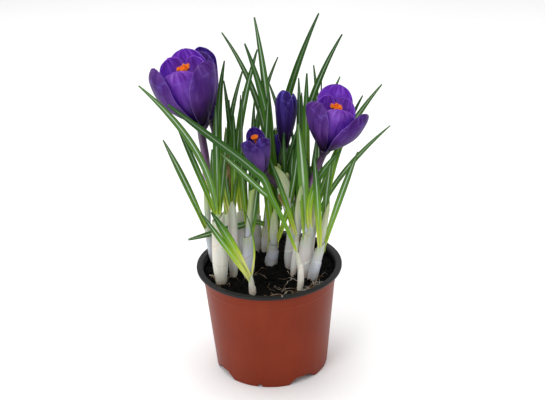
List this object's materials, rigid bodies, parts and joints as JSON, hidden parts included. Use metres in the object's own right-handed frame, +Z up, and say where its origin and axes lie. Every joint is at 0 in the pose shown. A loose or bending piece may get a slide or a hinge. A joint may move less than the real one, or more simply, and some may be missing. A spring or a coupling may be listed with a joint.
{
  "type": "potted crocus",
  "caption": "Round plastic nursery pot of dark peat with a clump of spring crocuses: white sheaths, grassy leaves, and violet cup-shaped blooms, some open and some in bud.",
  "frame": {"origin": "middle of the pot's foot, on the surface that the pot stands on", "axes": "+Z up along the pot's axis; +X to the right as seen from the front; -Y is the front"},
  "size_m": [0.1446, 0.09, 0.2221],
  "materials": {
    "pot": "satin terracotta plastic outside, black inside and on the rim",
    "soil": "moist dark peat with fine fibres",
    "sheath": "satin, papery white with faint veins",
    "leaf": "satin green blades with a pale stripe, yellow-green to white at the foot",
    "petal": "silky violet with darker veins",
    "stigma": "matt orange, frilled",
    "stamen": "matt yellow pollen"
  },
  "bodies": {
    "root": {"pot": "pot", "soil": "soil", "sheath_1": "sheath", "leaves_1": "leaf", "sheath_2": "sheath", "leaves_2": "leaf", "sheath_3": "sheath", "leaves_3": "leaf", "sheath_4": "sheath", "leaves_4": "leaf", "sheath_5": "sheath", "leaves_5": "leaf", "sheath_6": "sheath", "leaves_6": "leaf", "sheath_7": "sheath", "leaves_7": "leaf", "sheath_8": "sheath", "leaves_8": "leaf", "sheath_9": "sheath", "leaves_9": "leaf", "sheath_10": "sheath", "leaves_10": "leaf", "sheath_11": "sheath", "leaves_11": "leaf", "sheath_12": "sheath", "leaves_12": "leaf", "sheath_13": "sheath", "leaves_13": "leaf", "sheath_14": "sheath", "leaves_14": "leaf", "sheath_15": "sheath", "leaves_15": "leaf", "sheath_16": "sheath", "leaves_16": "leaf", "sheath_17": "sheath", "leaves_17": "leaf", "flower_left": "petal", "flower_leftRear": "petal", "flower_small": "petal", "flower_bud": "petal", "flower_rearBud": "petal", "flower_right": "petal", "stigma_left": "stigma", "stigma_small": "stigma", "stigma_right": "stigma", "stamens_left": "stamen", "stamens_right": "stamen"}
  },
  "joints": []
}
